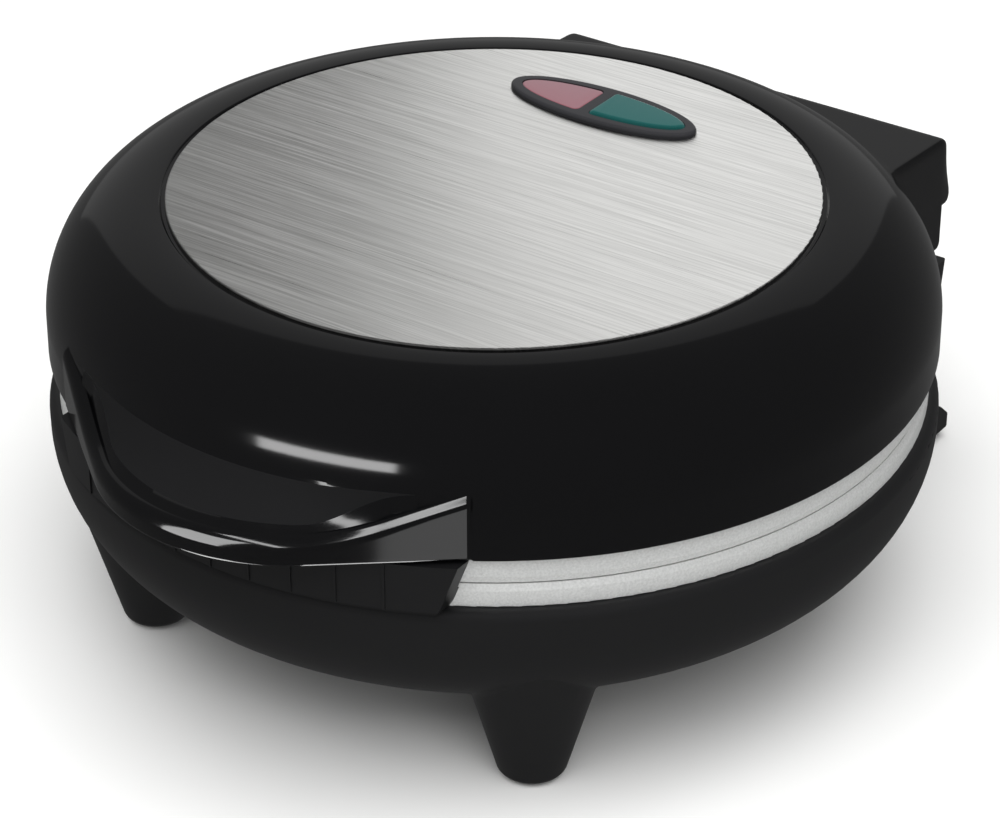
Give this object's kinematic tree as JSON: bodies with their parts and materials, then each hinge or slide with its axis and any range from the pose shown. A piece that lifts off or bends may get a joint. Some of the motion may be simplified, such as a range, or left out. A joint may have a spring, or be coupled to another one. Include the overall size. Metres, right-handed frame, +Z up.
{
  "type": "omelette maker",
  "caption": "Round countertop omelette maker with a rear-hinged lid, brushed top disc, two half-moon pockets, crescent handle and four tapered feet.",
  "frame": {"origin": "on the surface it stands on, under the centre of the bounding box and the axis of the round body", "axes": "+Z up through the top disc, +Y towards the hinge (the handle is on -Y), +X to the right seen from the handle"},
  "size_m": [0.2276, 0.2607, 0.1152],
  "materials": {
    "gloss_black": "glossy black injection-moulded housing",
    "satin_black": "satin black injection-moulded housing",
    "brushed_steel": "brushed stainless sheet, grain along X",
    "silver_rim": "fine sandblasted silver",
    "smoke_gloss": "glossy smoke grey",
    "red_lens": "clear red lens",
    "green_lens": "clear teal green lens",
    "dark_nylon": "matte dark nylon",
    "glass": "clear glass",
    "nonstick": "cast, black non-stick coated",
    "sheath_steel": "heat-tinted steel sheath",
    "pan_steel": "pressed aluminised sheet",
    "zinc_screw": "zinc-plated steel",
    "sleeve_white": "off-white ceramic and glass sleeve",
    "rubber": "matte black rubber"
  },
  "bodies": {
    "base": {"base_shell": "satin_black", "front_grip": "satin_black", "hinge_block": "satin_black", "lower_rim": "silver_rim", "lower_cook_plate": "nonstick", "lower_element": "sheath_steel", "lower_pan": "pan_steel", "lower_plate_screws": "zinc_screw", "base_screws": "zinc_screw", "terminal_block": "dark_nylon", "terminal_screws": "zinc_screw", "thermostat": "sleeve_white", "lower_thermal_fuse": "sleeve_white", "cord_bushing": "rubber", "left_hinge_pin": "zinc_screw", "right_hinge_pin": "zinc_screw", "foot_pad_front_left": "rubber", "foot_pad_front_right": "rubber", "foot_pad_rear_left": "rubber", "foot_pad_rear_right": "rubber"},
    "lid": {"lid_shell": "gloss_black", "top_disc": "brushed_steel", "lamp_bezel": "smoke_gloss", "power_lens": "red_lens", "ready_lens": "green_lens", "lamp_holder": "dark_nylon", "power_neon": "glass", "ready_neon": "glass", "upper_rim": "silver_rim", "upper_cook_plate": "nonstick", "upper_element": "sheath_steel", "upper_pan": "pan_steel", "upper_plate_screws": "zinc_screw", "lid_screws": "zinc_screw", "upper_thermal_fuse": "sleeve_white"}
  },
  "joints": [
    {"name": "lid_hinge", "type": "hinge", "parent": "base", "child": "lid", "pos_m": [0, 0.1198, 0.067], "axis": [-1, 0, 0], "range_deg": [0, 95]}
  ]
}
